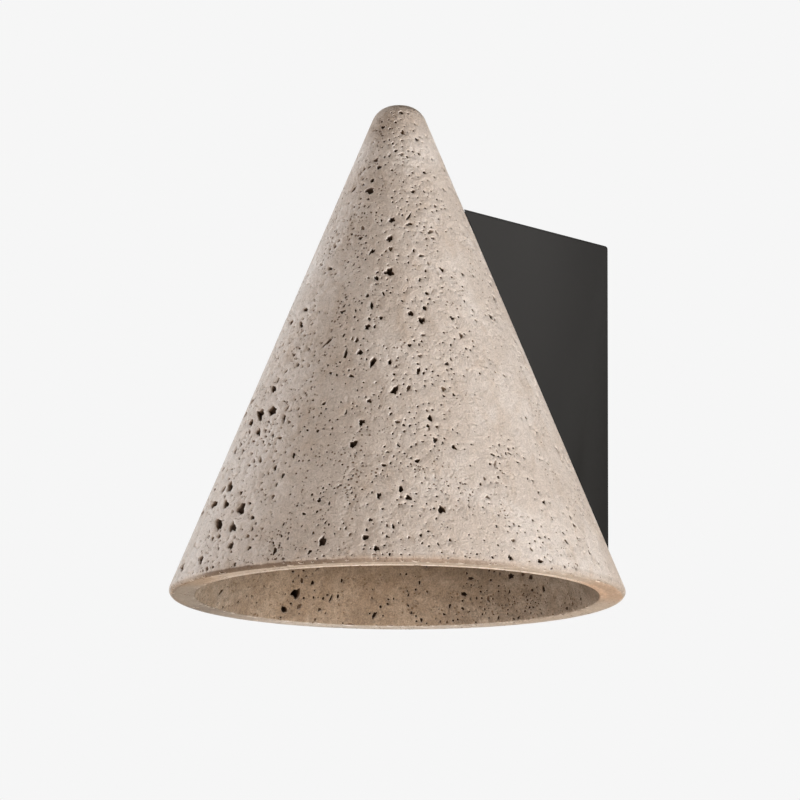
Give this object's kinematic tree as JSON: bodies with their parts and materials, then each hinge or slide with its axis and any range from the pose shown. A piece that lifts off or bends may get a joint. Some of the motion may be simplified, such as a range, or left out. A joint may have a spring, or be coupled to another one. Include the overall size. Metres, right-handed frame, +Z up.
{
  "type": "travertine cone wall light",
  "caption": "Wall light: a hollow turned travertine cone, open below, carried by a black steel box bracket cut to fit the cone, with a lampholder and capsule bulb inside.",
  "frame": {"origin": "centre of the flat wall face, midway up the bracket", "axes": "+Y into the wall, square to the wall face; +Z up, parallel to the cone's axis; the light stands out towards -Y"},
  "size_m": [0.1978, 0.2149, 0.218],
  "materials": {
    "travertine": null,
    "black_steel": "black satin powder coat",
    "zinc_steel": "zinc plated",
    "ceramic": "white glazed ceramic",
    "frosted_glass": "frosted glass"
  },
  "bodies": {
    "root": {"travertine_shade": "travertine", "steel_bracket": "black_steel", "wall_plate": "zinc_steel", "plate_screw": "black_steel", "threaded_tube": "zinc_steel", "ring_nut": "zinc_steel", "lampholder_cup": "black_steel", "lamp_socket": "ceramic", "bulb": "frosted_glass"}
  },
  "joints": []
}
